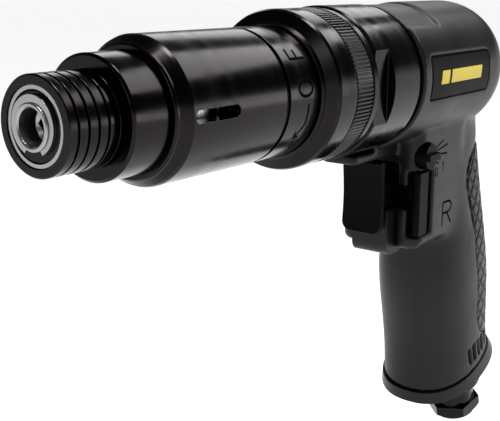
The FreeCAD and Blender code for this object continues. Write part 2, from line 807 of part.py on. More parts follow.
def rotor_vanes():
    """Vanes, all drawn in to the rotor's rim."""
    vane = box(x_cylinder - 0.3, x_cylinder_back + 0.3, -vane_thickness / 2, vane_thickness / 2,
               rotor_radius - vane_height - 0.1, rotor_radius - 0.05)
    return ring_of(vane, vane_count)


def front_bearing():
    """Ball bearing in the front end plate."""
    return bearing(bearing_radius, rotor_shaft_radius + running_gap, x_front_plate - 0.05,
                   x_front_plate - bearing_width)


def rear_bearing():
    """Ball bearing in the rear end plate."""
    return bearing(bearing_radius, rotor_shaft_radius + running_gap,
                   x_rear_plate_back + bearing_width, x_rear_plate_back + 0.05)


def motor_gasket():
    """Rear gasket that loads the motor stack."""
    return tube(motor_bore_radius() - 0.3, bearing_radius + 1.5, x_rear_plate_back - 0.05,
                x_bore_end + 0.05)


# ================================================================ handle
def grip_sections():
    """Handle sections as (drop below the axis, half depth, half width)."""
    return [(10, 21.5, 13.6), (30, 21.8, 14.6), (48, 22.0, 16.2), (62, 23.0, 17.4),
            (76, 24.7, 18.0), (92, 24.0, 18.0), (106, 22.7, 18.0), (118, 23.2, 18.1),
            (132, 25.0, 18.4)]


def grip_centre(drop):
    """X of the handle's centre line at a depth below the axis."""
    return grip_x - grip_lean * drop


def grip_loft(shrink, top, bottom):
    """Handle solid between two depths, drawn in by a wall thickness."""
    wires = []
    for drop, half_depth, half_width in grip_sections():
        if top <= drop <= bottom:
            wires.append(oval(half_depth - shrink, half_width - shrink, grip_centre(drop), -drop))
    return Part.makeLoft(wires, True, False)


def end_flare():
    """Widening foot of the handle, from its own section to the end plane."""
    wires = []
    for part in (1.0, 0.72, 0.45, 0.2, 0.0):
        spread = 2.4 * (1 - part) ** 2
        wires.append(oval(base_half_depth - 2.5 + spread, base_half_width - 0.95 + spread * 0.35,
                          -0.14 * flare_height * part, flare_height * part))
    return base_frame(Part.makeLoft(wires, True, False))


def below_base(offset):
    """Large block under the handle's tilted end plane."""
    size = 160.0
    block = Part.makeBox(size, size, size, V(-size / 2, -size / 2, -size - offset))
    return base_frame(block)


def throat_block():
    """Upper front block of the handle, round the valves."""
    block = box(-throat_front, grip_x, -throat_half_width, throat_half_width, -throat_bottom,
                -throat_top)
    block = rounded(block, throat_corner, lambda e: e.BoundBox.XLength < 0.1
                    and e.BoundBox.YLength < 0.1 and e.BoundBox.XMax > -throat_front - 0.1)
    return rounded(block, throat_edge, lambda e: abs(e.BoundBox.ZMax + throat_bottom) < 0.1
                   and e.BoundBox.XMin > grip_x + 1)


def trigger_hood():
    """Lip of the housing above the trigger, under the gear case."""
    top = -case_radius - 0.5
    hood = box(-hood_front, -throat_front - 4, -hood_half_width, hood_half_width, -hood_bottom,
               top)
    hood = rounded(hood, 2.0, lambda e: e.BoundBox.XLength < 0.1 and e.BoundBox.YLength < 0.1
                   and e.BoundBox.XMax > -hood_front - 0.1)
    rib = box(x_housing - 0.5, -throat_front - 4, -hood_half_width, hood_half_width,
              -hood_bottom, -barrel_radius + 4)
    return hood.fuse(rib)


def housing_recesses():
    """Outside cuts: selector slots, name plate seat, top flat, grip panel seat, louvres."""
    cuts = []
    far = 40.0
    for low, high in ((slot_floor, far), (-far, -slot_floor)):
        cuts.append(box(-throat_front + 5, -slot_back, low, high,
                        -slot_drop - slot_half_height, -slot_drop + slot_half_height))
    half = selector_arm_height / 2 + moving_gap
    arm_drop = trigger_axis_drop + 1.0
    cuts.append(box(-throat_front + 5, -slot_back, -far, far, -arm_drop - half, -arm_drop + half))
    return cuts


def plate_seat(depth):
    """Shallow rounded seat on the left of the barrel, for the name plate."""
    front = x_housing - plate_margin
    back = x_dome + plate_margin
    shell = tube(barrel_radius + 2, barrel_radius - depth, front, back)
    slab = box(front, back, 0, 40, 0.4 - plate_height / 2, 0.4 + plate_height / 2)
    slab = rounded(slab, 2.0, lambda e: e.BoundBox.YLength > 30)
    return shell.common(slab)


def top_recess():
    """Shallow step along the top of the barrel, from its front edge."""
    back = x_housing - top_step_length
    shell = tube(barrel_radius + 2, barrel_radius - top_step_depth, x_housing + 1, back)
    wedge = box(x_housing + 1, back, -top_step_half_width, top_step_half_width, 5, 40)
    return shell.common(wedge)


def air_passages():
    """Bores in the housing: valve chamber, inlet passage and feed to the motor."""
    valve = bar(valve_chamber_radius, -throat_front + 1, -valve_chamber_back(), 0,
                -trigger_axis_drop)
    supply_top = V(-valve_chamber_back() + 4, 0, -trigger_axis_drop - 2)
    supply = Part.makeCylinder(supply_radius, base_drop, supply_top, AXIS_Z * -1)
    supply.rotate(supply_top, AXIS_Y, supply_lean)
    feed_start = V(valve_plug_front() + feed_radius + 0.2, 0, -trigger_axis_drop + 2)
    feed = Part.makeCylinder(feed_radius, trigger_axis_drop - motor_bore_radius() + 3, feed_start,
                             AXIS_Z)
    return [valve, supply, feed]


def valve_chamber_back():
    """Rear end of the valve chamber, behind the origin."""
    return -grip_x + valve_chamber_reach


def motor_housing():
    """One-piece housing: barrel with a domed rear and the pistol handle."""
    shape = bar(barrel_radius, x_housing, x_dome)
    shape = shape.fuse(Part.makeSphere(barrel_radius, V(x_dome, 0, 0)))
    shape = shape.fuse(grip_loft(0, 0, 200))
    shape = shape.fuse(end_flare())
    shape = shape.fuse(throat_block())
    shape = shape.fuse(trigger_hood())
    shape = shape.cut(below_base(0))
    shape = shape.cut(bar(motor_bore_radius(), x_housing + 1, x_bore_end))
    shape = shape.cut(bar(case_spigot_radius + fixed_gap, x_housing + 1, x_front_plate))
    shape = shape.cut(bar(bearing_radius, x_bore_end + 1, x_bore_end - 6))
    for cutter in air_passages() + housing_recesses():
        shape = shape.cut(cutter)
    shape = shape.cut(plate_seat(plate_depth)).cut(top_recess())
    shape = shape.cut(throat_pocket()).cut(skirt_blank(fixed_gap))
    shape = shape.cut(selector_pin_blank(fixed_gap))
    shape = shape.cut(inlet_place(upright(inlet_neck_radius + fixed_gap, -1, 8.2)))
    shape = shape.cut(grip_panel_cut(0.2 + panel_thickness, 0.3))
    shape = shape.cut(Part.makeCompound(louvre_cuts()))
    shape = shape.cut(dial_seat())
    for x, y in base_screw_places():
        hole = base_frame(upright(1.25, -1, screw_reach + 2).translated(V(x, y, 0)))
        shape = shape.cut(hole)
    return shape


def name_plate():
    """Plain plate in the seat on the barrel's left."""
    plate = plate_seat(plate_depth - 0.05)
    return plate.common(bar(barrel_radius - 0.15, x_housing, x_dome))


def panel_outline(grow):
    """Prism across the handle, round the panel that wraps the handle's back."""
    front = [V(grip_x - setback + grow, 0, -drop) for drop, setback in panel_edge]
    front[0] += V(0, 0, grow)
    front[-1] -= V(0, 0, grow)
    curve = Part.BSplineCurve()
    curve.interpolate(Points=front)
    far = grip_x - 3 * base_half_depth
    corners = [front[-1], V(far, 0, front[-1].z), V(far, 0, front[0].z), front[0]]
    face = Part.Face(Part.Wire([curve.toShape()] + Part.makePolygon(corners).Edges))
    prism = face.extrude(V(0, 2 * base_half_depth, 0))
    prism.translate(V(0, -base_half_depth, 0))
    return prism


def grip_panel_cut(depth, grow):
    """Seat for the panel: the lens cut to a depth below the handle's skin."""
    inner = grip_loft(depth, 0, 200)
    return panel_outline(grow).cut(inner)


def grip_panel():
    """Soft panel on the back of the handle."""
    skin = grip_loft(0.15, 0, 200)
    inner = grip_loft(0.15 + panel_thickness, 0, 200)
    return panel_outline(0).common(skin).cut(inner)


def louvre_cuts():
    """Exhaust slots low on the handle's back."""
    cuts = []
    for step in range(louvre_count):
        turn = 180 + louvre_spread * (2.0 * step / (louvre_count - 1) - 1)
        slot = Part.makeBox(2 * louvre_depth, louvre_width, louvre_height,
                            V(-louvre_depth, -louvre_width / 2, louvre_low))
        slot.rotate(V(0, 0, 0), AXIS_Z, turn)
        slot.translate(V((base_half_depth - 1.2) * math.cos(math.radians(turn)),
                         (base_half_width - 0.7) * math.sin(math.radians(turn)), 0))
        cuts.append(base_frame(slot))
    return cuts


# ================================================================ handle end
def base_screw_places():
    """Screw places in the base plane, as (forward, left)."""
    front = [(base_half_depth - 8.9, side * screw_spread) for side in (1, -1)]
    back = [(5.9 - base_half_depth, side * screw_spread) for side in (1, -1)]
    return front + back


def inlet_place(shape):
    """Shift a piece modelled on the base centre to the inlet's axis."""
    shape.translate(V(inlet_offset, 0, 0))
    return base_frame(shape)


def base_cap():
    """Flared end cap of the handle with a hole for the inlet."""
    upper = oval(base_half_depth, base_half_width, 0, -fixed_gap)
    middle = oval(base_half_depth + base_flare, base_half_width + base_flare * 0.6, -0.8,
                  -base_height + 1.4)
    lower = oval(base_half_depth + base_flare - 1.6, base_half_width + base_flare * 0.6 - 1.6,
                 -1.0, -base_height)
    shape = Part.makeLoft([upper, middle, lower], True, True)
    shape = shape.cut(upright(inlet_neck_radius + fixed_gap, -20, 5, inlet_offset))
    for x, y in base_screw_places():
        shape = shape.cut(upright(1.6, -20, 5).translated(V(x, y, 0)))
        shape = shape.cut(upright(3.0, -20, -base_height + 2.4).translated(V(x, y, 0)))
    return base_frame(shape)


def base_screws():
    """Pan-head screws of the end cap."""
    screws = []
    for x, y in base_screw_places():
        head = upright(2.7, -base_height + 0.4, -base_height + 2.3)
        shank = upright(1.2, -base_height + 2.3, screw_reach)
        screw = head.fuse(shank)
        screw = screw.cut(box(0.35, -0.35, -3, 3, -base_height, -base_height + 1.2))
        screws.append(base_frame(screw.translated(V(x, y, 0))))
    return screws


def inlet_bushing():
    """Threaded inlet: flange, neck and hexagon, with the air bore."""
    flange_bottom = -inlet_flange_drop - inlet_flange_thickness
    hex_top = -inlet_hex_drop
    hex_bottom = -inlet_hex_drop - inlet_hex_thickness
    bottom = -inlet_end_drop
    shape = upright(inlet_neck_radius, flange_bottom, 8)
    shape = shape.fuse(upright(inlet_flange_radius, flange_bottom, -inlet_flange_drop))
    shape = rounded(shape, 0.7, lambda e: abs(e.BoundBox.XLength - 2 * inlet_flange_radius)
                    < 0.1 and e.BoundBox.ZLength < 0.1)
    shape = shape.fuse(upright(inlet_neck_radius, bottom, flange_bottom))
    corner = inlet_flats / math.sqrt(3)
    points = []
    for step in range(7):
        turn = math.radians(inlet_hex_turn + 60 * step)
        points.append(V(corner * math.cos(turn), corner * math.sin(turn), hex_bottom))
    hexagon = Part.Face(Part.makePolygon(points)).extrude(V(0, 0, hex_top - hex_bottom))
    bevel = Part.makeCone(inlet_flats / 2 + 0.3, corner + 2.0, 2.2, V(0, 0, hex_bottom))
    bevel = bevel.fuse(upright(corner + 2.0, hex_bottom + 2.2, hex_top))
    shape = shape.fuse(hexagon.common(bevel))
    shape = shape.cut(upright(inlet_bore_radius, bottom - 1, bottom + inlet_bore_length))
    shape = shape.cut(upright(inlet_air_radius, bottom, 20))
    return inlet_place(shape)


def inlet_screen():
    """Fine screen across the air passage, above the thread."""
    top = inlet_bore_length - inlet_end_drop
    disc = upright(inlet_air_radius - 0.1, top + 1.2, top + 2.2)
    return inlet_place(disc)


def inlet_seal():
    """O-ring between the inlet's flange and the handle end."""
    ring = Part.makeTorus(inlet_neck_radius + 1.25, 1.0, V(0, 0, -base_height - 1.1))
    return inlet_place(ring)


# ================================================================ trigger, selector, regulator
def throat_pocket():
    """Cavity in the handle's block for the stem's square part and the selector's hub."""
    return box(-throat_front + 8, -selector_axis - 5.6 - moving_gap, -skirt_half_width - 0.6,
               skirt_half_width + 0.6, selector_low() - moving_gap, -hood_bottom - 3.0)


def selector_low():
    """Height of the selector's lower face."""
    return -trigger_axis_drop - 1.0 - selector_arm_height / 2


def skirt_blank(grow):
    """Skirt block with rounded lower corners, enlarged all round."""
    front = -skirt_front + grow
    low = -throat_bottom - 1.6 - grow
    high = selector_low() - moving_gap
    blank = box(front, -throat_front - skirt_overlap - grow, -skirt_half_width - grow,
                skirt_half_width + grow, low, high)
    return rounded(blank, 4.0, lambda e: e.BoundBox.XLength < 0.1 and e.BoundBox.ZLength < 0.1
                   and e.BoundBox.ZMax < low + 0.1)


def throttle_bush():
    """Brass guide of the trigger stem, screwed into the valve chamber."""
    return tube(valve_chamber_radius - 0.1, trigger_stem_radius + running_gap,
                -selector_axis - 6.4, valve_plug_front() + 2 * feed_radius + 0.4, 0,
                -trigger_axis_drop)


def trigger_pad():
    """Finger pad with a hollow front face, and its stem."""
    front = -trigger_front
    back = front - trigger_thickness
    low = -trigger_axis_drop - trigger_half_height
    high = -trigger_axis_drop + trigger_half_height
    pad = box(front, back, -trigger_half_width, trigger_half_width, low, high)
    pad = rounded(pad, 3.4, lambda e: e.BoundBox.YLength < 0.1 and e.BoundBox.ZLength < 0.1
                  and e.BoundBox.ZMax < low + 0.1)
    pad = rounded(pad, 0.7, lambda e: e.BoundBox.XMin > front - 0.1)
    hollow_radius = (trigger_half_height ** 2 + trigger_hollow ** 2) / (2 * trigger_hollow)
    hollow = Part.makeCylinder(hollow_radius, 60, V(front + hollow_radius - trigger_hollow, -30,
                                                    -trigger_axis_drop), AXIS_Y)
    pad = pad.cut(hollow)
    block = box(back, -stem_block_back, -5.6, 5.6, -trigger_axis_drop - 3.9,
                -trigger_axis_drop + 3.9)
    pad = pad.fuse(block)
    stem = bar(trigger_stem_radius, back, valve_plug_front() + 0.1, 0, -trigger_axis_drop)
    return pad.fuse(stem)


def valve_plug_front():
    """X of the valve plug's front face, with the trigger out."""
    return -valve_chamber_back() + throttle_spring_length + valve_plug_thickness + 0.2


def throttle_valve():
    """Valve plug on the end of the trigger stem."""
    return bar(valve_plug_radius, valve_plug_front(), valve_plug_front() - valve_plug_thickness,
               0, -trigger_axis_drop)


def throttle_spring():
    """Spring behind the valve plug."""
    back = -valve_chamber_back() + 0.1
    spring = coil(throttle_spring_radius, throttle_spring_wire, back + throttle_spring_length,
                  back, throttle_spring_turns)
    return spring.translated(V(0, 0, -trigger_axis_drop))


def trigger_skirt():
    """Moulded skirt behind the trigger, set in the handle's block."""
    return skirt_blank(0)


def reverse_selector():
    """Yoke round the trigger stem with a thumb paddle in each side slot."""
    z_low = selector_low()
    z_high = z_low + selector_arm_height
    hub = upright(5.6, z_low, z_high, -selector_axis)
    hub = hub.fuse(box(-yoke_front, -selector_axis, -5.6, 5.6, z_low, z_high))
    arms = box(-yoke_front, -paddle_back, -paddle_inner - 1, paddle_inner + 1, z_low,
               z_high)
    yoke = hub.fuse(arms)
    half = slot_half_height - 0.6
    for low, high in ((paddle_inner, paddle_outer), (-paddle_outer, -paddle_inner)):
        paddle = box(-paddle_front, -paddle_back, low, high, -slot_drop - half, -slot_drop + half)
        paddle = rounded(paddle, 0.8, lambda e: e.BoundBox.ZLength > 5)
        yoke = yoke.fuse(paddle)
    return yoke.cut(stem_slot()).cut(selector_pin_blank(running_gap))


def stem_slot():
    """Opening of the yoke for the trigger stem, over the yoke's whole swing."""
    reach = selector_axis - paddle_front
    swing = math.tan(math.radians(selector_turn_range)) * reach
    half = trigger_stem_radius + swing + moving_gap
    half_height = trigger_stem_radius + moving_gap
    return box(-paddle_front + 5, -selector_axis - 8, -half, half,
               -trigger_axis_drop - half_height, -trigger_axis_drop + half_height)


def selector_pin():
    """Pin under the yoke, which turns on it."""
    return selector_pin_blank(0)


def selector_pin_blank(grow):
    """Pin from the handle's block into the yoke's lower wall, enlarged all round."""
    return upright(selector_pin_radius + grow, selector_low() - 4.0 - grow,
                   selector_low() + 1.4 + grow, -selector_axis)


def dial_seat():
    """Round seat for the power regulator in the housing's left side."""
    start = V(-dial_setback, dial_seat_floor, -dial_drop)
    shape = Part.makeCylinder(dial_radius + moving_gap, 40, start, AXIS_Y)
    bore = Part.makeCylinder(dial_stem_radius + running_gap, 30, start - AXIS_Y * 4, AXIS_Y)
    return shape.fuse(bore)


def regulator_dial():
    """Knob of the power regulator with a finger bar across its face."""
    inner = dial_seat_floor + 0.3
    face = inner + dial_height
    knob = Part.makeCylinder(dial_radius, dial_height, V(-dial_setback, inner, -dial_drop), AXIS_Y)
    knob = rounded(knob, 0.6, lambda e: abs(e.BoundBox.YMin - face) < 0.01
                   and e.BoundBox.YLength < 0.1)
    for low in (dial_bar_width / 2, -dial_bar_width / 2 - dial_radius):
        cheek = Part.makeBox(3 * dial_radius, dial_height, dial_radius,
                             V(-1.5 * dial_radius, face - dial_bar_height, low))
        knob = knob.cut(cheek.translated(V(-dial_setback, 0, -dial_drop)))
    stem_start = V(-dial_setback, inner - 3.9, -dial_drop)
    stem = Part.makeCylinder(dial_stem_radius, 4.0, stem_start, AXIS_Y)
    return knob.fuse(stem)


# ================================================================ all nodes
def build():
    """Build every sub-part and write it."""
    os.makedirs("parts", exist_ok=True)
    pieces = {
        "bit_holder": bit_holder(),
        "circlip": circlip(),
        "chuck_retainer": chuck_retainer(),
        "rim_ring": rim_ring(),
        "chuck_spring": chuck_spring(),
        "chuck_sleeve": chuck_sleeve(),
        "lock_ball": lock_ball(),
        "nose_bush": nose_bush(),
        "clutch_housing": clutch_housing(),
        "clutch_cover": clutch_cover(),
        "cover_stop_ring": cover_stop_ring(),
        "coupling_nut": coupling_nut(),
        "adjusting_nut": adjusting_nut(),
        "thrust_washer": thrust_washer(),
        "clutch_spring": clutch_spring(),
        "spring_seat": spring_seat(),
        "driven_plate": driven_plate(),
        "drive_key": drive_key(),
        "clutch_balls": clutch_balls(),
        "driving_plate": driving_plate(),
        "planet_carrier": planet_carrier(),
        "planet_pins": planet_pins(),
        "ring_gear": ring_gear(),
        "gear_case": gear_case(),
        "carrier_bearing": carrier_bearing(),
        "case_gasket": case_gasket(),
        "front_end_plate": end_plate(x_front_plate, x_cylinder, "front"),
        "rear_end_plate": end_plate(x_cylinder_back, x_rear_plate_back, "back"),
        "motor_cylinder": motor_cylinder(),
        "rotor": rotor(),
        "rotor_vanes": rotor_vanes(),
        "front_bearing": front_bearing(),
        "rear_bearing": rear_bearing(),
        "motor_gasket": motor_gasket(),
        "motor_housing": motor_housing(),
        "name_plate": name_plate(),
        "grip_panel": grip_panel(),
        "base_cap": base_cap(),
        "base_screws": base_screws(),
        "inlet_bushing": inlet_bushing(),
        "inlet_screen": inlet_screen(),
        "inlet_seal": inlet_seal(),
        "throttle_bush": throttle_bush(),
        "trigger": trigger_pad(),
        "throttle_valve": throttle_valve(),
        "throttle_spring": throttle_spring(),
        "trigger_skirt": trigger_skirt(),
        "reverse_selector": reverse_selector(),
        "selector_pin": selector_pin(),
        "regulator_dial": regulator_dial(),
    }
    for number in range(planet_count):
        pieces["planet_gear_" + str(number + 1)] = planet_gear(number)
    for name, shape in pieces.items():
        save(name, shape)
    print(len(pieces), "nodes written")


build()
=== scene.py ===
# %% [markdown]
# # A pistol-grip air screwdriver
#
# The real tool is a stack of turned, black-oxided steel sleeves on the front of a cast and
# painted handle. The solid model already holds every working piece, so this lesson adds what
# the eye wants: the finishes, the cut lettering, the crossed grooves of the grip and the light.
# The first cell loads the solid model. Everything is in metres, and +X points out of the chuck.

# %% Load the solid model
import json
import math
import bpy
import numpy as np
from mathutils import Matrix, Vector
from mathutils.bvhtree import BVHTree


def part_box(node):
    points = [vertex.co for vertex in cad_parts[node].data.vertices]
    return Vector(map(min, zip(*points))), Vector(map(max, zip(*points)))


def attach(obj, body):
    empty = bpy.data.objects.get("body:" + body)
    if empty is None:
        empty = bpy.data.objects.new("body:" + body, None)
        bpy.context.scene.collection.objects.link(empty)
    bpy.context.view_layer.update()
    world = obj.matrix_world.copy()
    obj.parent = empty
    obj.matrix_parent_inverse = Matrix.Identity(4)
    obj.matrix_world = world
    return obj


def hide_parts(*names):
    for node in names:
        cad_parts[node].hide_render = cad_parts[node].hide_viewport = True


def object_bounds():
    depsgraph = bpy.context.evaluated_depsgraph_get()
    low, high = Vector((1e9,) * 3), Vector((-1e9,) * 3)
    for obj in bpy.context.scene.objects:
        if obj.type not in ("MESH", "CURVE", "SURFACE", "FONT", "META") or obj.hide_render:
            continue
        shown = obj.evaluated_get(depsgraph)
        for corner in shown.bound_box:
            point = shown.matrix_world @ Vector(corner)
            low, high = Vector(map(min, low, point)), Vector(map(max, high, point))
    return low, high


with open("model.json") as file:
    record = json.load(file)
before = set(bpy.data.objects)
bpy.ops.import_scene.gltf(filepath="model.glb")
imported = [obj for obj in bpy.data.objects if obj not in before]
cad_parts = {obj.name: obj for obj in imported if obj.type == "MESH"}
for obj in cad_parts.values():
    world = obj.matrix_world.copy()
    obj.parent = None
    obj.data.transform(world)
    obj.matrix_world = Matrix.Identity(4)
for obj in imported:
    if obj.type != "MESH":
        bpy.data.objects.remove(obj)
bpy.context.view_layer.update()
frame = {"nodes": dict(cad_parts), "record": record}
nodes = frame["nodes"]
MM = 0.001

# %% [markdown]
# ## Camera
#
# A camera can be aimed with a constraint or given its own axes. A product shot is easier to
# repeat when its right, up and forward directions are written down, so they go straight into
# the columns of its matrix. The lens is a short telephoto, close to the chuck.

# %% Camera
right = Vector((-0.60616, 0.79534, 0.0))
up = Vector((-0.19038, -0.14509, 0.97093))
forward = right.cross(up) * -1.0
camera_place = Vector((122.19, 150.42, 28.83)) * MM
camera_data = bpy.data.cameras.new("product_camera")
camera_data.sensor_width = 36.0
camera_data.lens = 66.07
camera_data.clip_start = 0.01
camera = bpy.data.objects.new("product_camera", camera_data)
bpy.context.scene.collection.objects.link(camera)
turn = Matrix((right, up, forward * -1.0)).transposed()
camera.matrix_world = Matrix.Translation(camera_place) @ turn.to_4x4()
bpy.context.scene.camera = camera
print("camera looks along", [round(c, 3) for c in forward])

# %% [markdown]
# ## Colour and nodes
#
# Colours are written as the familiar sRGB hex values. Blender's shaders work in linear light,
# so one function converts them. A second small function adds any node with its settings,
# values and links, which keeps each material below to a few readable lines.

# %% Helpers for materials
def linear(code):
    """Linear RGBA from an sRGB hex value such as '3b3735'."""
    parts = [int(code[i:i + 2], 16) / 255 for i in (0, 2, 4)]
    return [c / 12.92 if c <= 0.04045 else ((c + 0.055) / 1.055) ** 2.4 for c in parts] + [1.0]


def add_node(material, kind, values=None, links=None, **settings):
    """One node: settings are its properties, values its sockets, links what feeds a socket."""
    node = material.node_tree.nodes.new(kind)
    for name, value in settings.items():
        setattr(node, name, value)
    for name, value in (values or {}).items():
        node.inputs[name].default_value = value
    for name, source in (links or {}).items():
        material.node_tree.links.new(source, node.inputs[name])
    return node


def new_material(name):
    """An empty node material and its output node."""
    material = bpy.data.materials.new(name)
    material.use_nodes = True
    material.node_tree.nodes.clear()
    material.diffuse_color = linear("2a2827")
    return material


def finish_shader(material, values, links):
    """The surface shader of a material, joined to its output."""
    shader = add_node(material, "ShaderNodeBsdfPrincipled", values, links)
    add_node(material, "ShaderNodeOutputMaterial", links={"Surface": shader.outputs["BSDF"]})
    return material

# %% [markdown]
# ## Turned and black-oxided steel
#
# Black oxide is a thin layer of magnetite grown on the turned part and then oiled. The lathe's
# feed lines stay visible: rings at one x on a cylinder and circles of one radius on a face. A
# one-dimensional noise read along x plus radius draws both at once, whatever the profile. Feed
# marks are about 0.12 mm apart on the real sleeves; they are drawn at 0.25 mm so that they show.
# Edges are handled most, so the oxide there is thinner: the difference between the true normal
# and a slightly rounded one marks them. The same rounded normal takes the sharpness off.

# %% Turned steel materials
FEED_MM = 0.25            # apart, from one tool mark to the next
FEED_DEPTH_MM = 0.01
BROAD_MM = 6.0            # slow changes of gloss along the work
SMUDGE_MM = 9.0           # hand marks
STEEL_EDGE_MM = 0.22      # radius that a turned edge is taken off by


def turned_coordinate(material):
    """x plus radius about the spindle, in metres: constant along every tool mark."""
    place = add_node(material, "ShaderNodeTexCoord")
    axes = add_node(material, "ShaderNodeSeparateXYZ", links={"Vector": place.outputs["Object"]})
    flat = add_node(material, "ShaderNodeCombineXYZ",
                    links={"Y": axes.outputs["Y"], "Z": axes.outputs["Z"]})
    radius = add_node(material, "ShaderNodeVectorMath", operation="LENGTH",
                      links={"Vector": flat.outputs["Vector"]})
    total = add_node(material, "ShaderNodeMath", operation="ADD",
                     links={0: axes.outputs["X"], 1: radius.outputs["Value"]})
    return place, total


def worn_edges(material, width_mm, strength, smudge):
    """Rounded normal, and a mask of the edges that hands have polished."""
    soft = add_node(material, "ShaderNodeBevel", {"Radius": width_mm * MM}, samples=6)
    sharp = add_node(material, "ShaderNodeNewGeometry")
    same = add_node(material, "ShaderNodeVectorMath", operation="DOT_PRODUCT",
                    links={0: soft.outputs["Normal"], 1: sharp.outputs["Normal"]})
    mask = add_node(material, "ShaderNodeMapRange",
                    {"From Min": 0.995, "From Max": 0.90, "To Min": 0.0, "To Max": strength},
                    {"Value": same.outputs["Value"]})
    patchy = add_node(material, "ShaderNodeMath", operation="MULTIPLY",
                      links={0: mask.outputs["Result"], 1: smudge})
    return soft, patchy


def turned_steel(name, dark, light, worn, rough, wear, bump=0.35, aniso=0.45):
    """Turned steel in a given oxide or bare colour."""
    material = new_material(name)
    place, along = turned_coordinate(material)
    feed = add_node(material, "ShaderNodeTexNoise",
                    {"Scale": 1.0 / (FEED_MM * MM), "Detail": 3.0, "Roughness": 0.7},
                    {"W": along.outputs["Value"]}, noise_dimensions="1D")
    broad = add_node(material, "ShaderNodeTexNoise",
                     {"Scale": 1.0 / (BROAD_MM * MM), "Detail": 2.0},
                     {"W": along.outputs["Value"]}, noise_dimensions="1D")
    smudge = add_node(material, "ShaderNodeTexNoise",
                      {"Scale": 1.0 / (SMUDGE_MM * MM), "Detail": 4.0},
                      {"Vector": place.outputs["Object"]})
    soft, edge = worn_edges(material, STEEL_EDGE_MM, wear, smudge.outputs["Fac"])
    ring = add_node(material, "ShaderNodeMix", {"A": linear(dark), "B": linear(light)},
                    {"Factor": feed.outputs["Fac"]}, data_type="RGBA")
    colour = add_node(material, "ShaderNodeMix", {"B": linear(worn)},
                      {"Factor": edge.outputs["Value"], "A": ring.outputs["Result"]},
                      data_type="RGBA")
    blotch = add_node(material, "ShaderNodeMath", {1: 0.12}, operation="MULTIPLY_ADD",
                      links={0: smudge.outputs["Fac"], 2: broad.outputs["Fac"]})
    gloss = add_node(material, "ShaderNodeMapRange",
                     {"From Min": 0.3, "From Max": 0.8, "To Min": rough - 0.06,
                      "To Max": rough + 0.08}, {"Value": blotch.outputs["Value"]})
    relief = add_node(material, "ShaderNodeBump",
                      {"Strength": bump, "Distance": FEED_DEPTH_MM * MM},
                      {"Height": feed.outputs["Fac"], "Normal": soft.outputs["Normal"]})
    tangent = add_node(material, "ShaderNodeTangent", direction_type="RADIAL", axis="X")
    return finish_shader(
        material, {"Metallic": 1.0, "Anisotropic": aniso},
        {"Base Color": colour.outputs["Result"], "Roughness": gloss.outputs["Result"],
         "Normal": relief.outputs["Normal"], "Tangent": tangent.outputs["Tangent"]})


black_oxide = turned_steel("black_oxide_steel", "201e1e", "2b2828", "55504d", 0.17, 0.8,
                           0.10, 0.2)
ground_steel = turned_steel("ground_steel", "9a9998", "b4b3b2", "d2d2d0", 0.26, 0.6, 0.25)
# The bronze colours are painted far darker than bare bronze, as painted shade for the bush that
# sits in shadow between the trigger and its skirt.
bronze_darkened_as_shade = turned_steel("sintered_bronze_with_painted_shade", "3c2a1c", "4a3524", "6a4e34", 0.45, 0.5)
machined_alloy = turned_steel("machined_aluminium", "a3a4a6", "bcbdbf", "dadada", 0.34, 0.5)
honed_iron = turned_steel("honed_cast_iron", "6c6c6e", "848486", "a8a8a8", 0.36, 0.5)
print("turned finishes:", [m.name for m in bpy.data.materials if m.name.endswith("steel")])

# %% [markdown]
# ## Painted casting
#
# The handle is an alloy casting under a thin, warm dark grey stoved paint. Such paint is not
# metallic: it is a dielectric film with a fine orange peel of about 0.7 mm and still finer
# grit, and on edges it wears through to a paler grey. Its gloss is satin. The same recipe, with
# other colours and grain, serves the moulded nylon, the rubber, the label and the inks.

# %% Painted casting and moulded plastic
CLOUD_MM = 14.0           # slow changes of colour over the film
PEEL_DEPTH_MM = 0.03
FILM_EDGE_MM = 0.35       # radius that paint gives an edge


def painted(name, base, pale, worn, rough, peel_mm, peel, wear, specular=0.5):
    """A satin film or moulding with fine grain, cloudy colour and worn edges."""
    material = new_material(name)
    place = add_node(material, "ShaderNodeTexCoord")
    cloud = add_node(material, "ShaderNodeTexNoise",
                     {"Scale": 1.0 / (CLOUD_MM * MM), "Detail": 3.0},
                     {"Vector": place.outputs["Object"]})
    orange = add_node(material, "ShaderNodeTexNoise",
                      {"Scale": 1.0 / (peel_mm * MM), "Detail": 4.0, "Roughness": 0.62},
                      {"Vector": place.outputs["Object"]})
    soft, edge = worn_edges(material, FILM_EDGE_MM, wear, cloud.outputs["Fac"])
    grain = add_node(material, "ShaderNodeMix", {"A": linear(base), "B": linear(pale)},
                     {"Factor": orange.outputs["Fac"]}, data_type="RGBA")
    colour = add_node(material, "ShaderNodeMix", {"B": linear(worn)},
                      {"Factor": edge.outputs["Value"], "A": grain.outputs["Result"]},
                      data_type="RGBA")
    gloss = add_node(material, "ShaderNodeMapRange",
                     {"From Min": 0.3, "From Max": 0.7, "To Min": rough - 0.05,
                      "To Max": rough + 0.06}, {"Value": cloud.outputs["Fac"]})
    relief = add_node(material, "ShaderNodeBump",
                      {"Strength": peel, "Distance": PEEL_DEPTH_MM * MM},
                      {"Height": orange.outputs["Fac"], "Normal": soft.outputs["Normal"]})
    return finish_shader(
        material, {"Specular IOR Level": specular},
        {"Base Color": colour.outputs["Result"], "Roughness": gloss.outputs["Result"],
         "Normal": relief.outputs["Normal"]})


